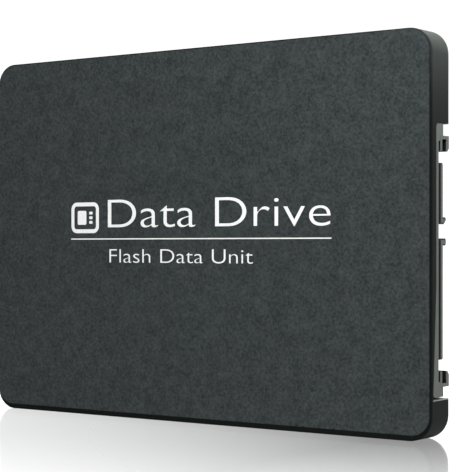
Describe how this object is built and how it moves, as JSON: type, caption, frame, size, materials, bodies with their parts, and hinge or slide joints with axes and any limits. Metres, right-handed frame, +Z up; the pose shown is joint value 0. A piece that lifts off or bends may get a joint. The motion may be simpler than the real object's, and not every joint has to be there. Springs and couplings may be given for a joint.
{
  "type": "solid state drive",
  "caption": "Slim 2.5-inch solid state drive: flat charcoal case with rounded corners, keyed plug in a notch at one end, threaded holes in the back and long sides.",
  "frame": {"origin": "middle of the long edge that the drive stands on", "axes": "+X along the length towards the plug, -Y out of the printed face, +Y out of the back, +Z up across the width"},
  "size_m": [0.1, 0.007, 0.0698],
  "materials": {
    "shell": "fine-grained charcoal",
    "rear_cover": "fine-grained charcoal",
    "label": "satin printed paper",
    "screw_steel": "dark zinc",
    "insert_brass": "machined",
    "board": "green solder mask",
    "plug_plastic": "moulded, filled plastic",
    "contact_gold": "gold flash",
    "tin": "tinned",
    "package": "moulding compound",
    "can": "drawn can",
    "ferrite": "ferrite",
    "tantalum": "moulded case",
    "ceramic_tan": "fired",
    "resistor": "glazed",
    "pad": "soft silicone"
  },
  "bodies": {
    "root": {"front_shell": "shell", "rear_cover": "rear_cover", "case_screws": "screw_steel", "base_inserts": "insert_brass", "side_inserts": "insert_brass", "rear_label": "label", "circuit_board": "board", "board_screws": "screw_steel", "connector_housing": "plug_plastic", "data_contacts": "contact_gold", "power_contacts": "contact_gold", "connector_board_locks": "tin", "controller_chip": "package", "memory_chip": "package", "boot_chip": "package", "clock_crystal": "can", "power_inductors": "ferrite", "power_regulators": "package", "tantalum_capacitors": "tantalum", "ceramic_capacitors": "ceramic_tan", "resistors": "resistor", "controller_pad": "pad", "flash_pad": "pad", "flash_chip_1": "package", "flash_leads_1": "tin", "flash_chip_2": "package", "flash_leads_2": "tin", "flash_chip_3": "package", "flash_leads_3": "tin", "flash_chip_4": "package", "flash_leads_4": "tin"}
  },
  "joints": []
}
